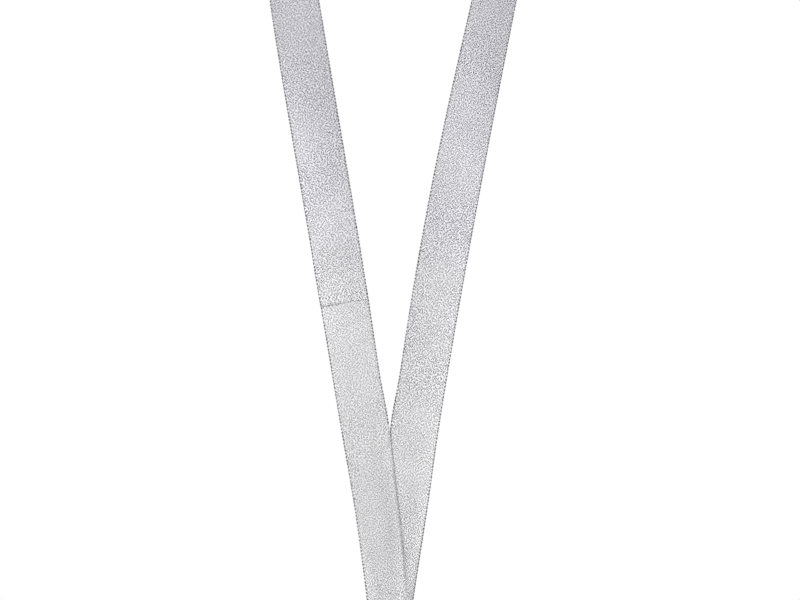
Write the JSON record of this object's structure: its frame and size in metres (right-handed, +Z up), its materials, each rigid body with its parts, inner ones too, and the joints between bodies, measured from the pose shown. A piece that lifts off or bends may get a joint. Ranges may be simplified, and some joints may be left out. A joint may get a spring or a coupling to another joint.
{
  "type": "sports finisher medal",
  "caption": "Round finisher medal with an ear, hung by a jump ring and a swivel snap hook from a flat metallic neck ribbon.",
  "frame": {"origin": "centre of the medal's flat back face, as the medal hangs", "axes": "+Z up along the hanging ribbon; -Y is the front of the medal, +Y leads out of its back towards the wearer's chest; +X is the viewer's right"},
  "size_m": [0.1172, 0.0843, 0.5203],
  "materials": {
    "ribbon_lurex": "woven metallic silver",
    "bond_film": "translucent film",
    "antique_silver": "antique silver plate on cast zinc",
    "graphite_enamel": "gloss soft enamel",
    "printed_disc": "satin",
    "clear_resin": "clear gloss dome",
    "nickel_plate": "bright nickel",
    "spring_steel": "bright steel"
  },
  "bodies": {
    "neck": {"ribbon_neck": "ribbon_lurex"},
    "front": {"ribbon_front": "ribbon_lurex", "ribbon_left_upper": "ribbon_lurex", "lap_bond_film": "bond_film"},
    "eye": {"swivel_eye": "nickel_plate"},
    "hook": {"hook_body": "nickel_plate", "swivel_rivet": "spring_steel", "gate_pin": "spring_steel", "gate_spring": "spring_steel"},
    "gate": {"gate_lever": "nickel_plate"},
    "ring": {"jump_ring": "nickel_plate"},
    "medal": {"medal_body": "antique_silver", "enamel_ring": "graphite_enamel", "insert_adhesive": "bond_film", "centre_insert": "printed_disc", "resin_dome": "clear_resin"}
  },
  "joints": [
    {"name": "ribbon_swing", "type": "hinge", "parent": "neck", "child": "front", "pos_m": [0, 0.01321, 0.36713], "axis": [-1, 0, 0], "range_deg": [0, 70]},
    {"name": "eye_tilt", "type": "hinge", "parent": "front", "child": "eye", "pos_m": [0, -0.002, 0.06735], "axis": [1, 0, 0], "range_deg": [-50, 50]},
    {"name": "hook_swivel", "type": "hinge", "parent": "eye", "child": "hook", "pos_m": [0, -0.002, 0.05925], "axis": [0, 0, 1], "continuous": true},
    {"name": "gate_open", "type": "hinge", "parent": "hook", "child": "gate", "pos_m": [0.0035, -0.002, 0.05325], "axis": [0, 1, 0], "range_deg": [0, 28], "stiffness_Nm_per_rad": 0.002, "springref_deg": -20.05, "deforming": ["gate_spring"]},
    {"name": "ring_swing", "type": "hinge", "parent": "hook", "child": "ring", "pos_m": [0, -0.002, 0.04215], "axis": [1, 0, 0], "range_deg": [-60, 60]},
    {"name": "medal_sway", "type": "hinge", "parent": "ring", "child": "medal", "pos_m": [0, -0.002, 0.0343], "axis": [0, 1, 0], "range_deg": [-45, 45]}
  ]
}
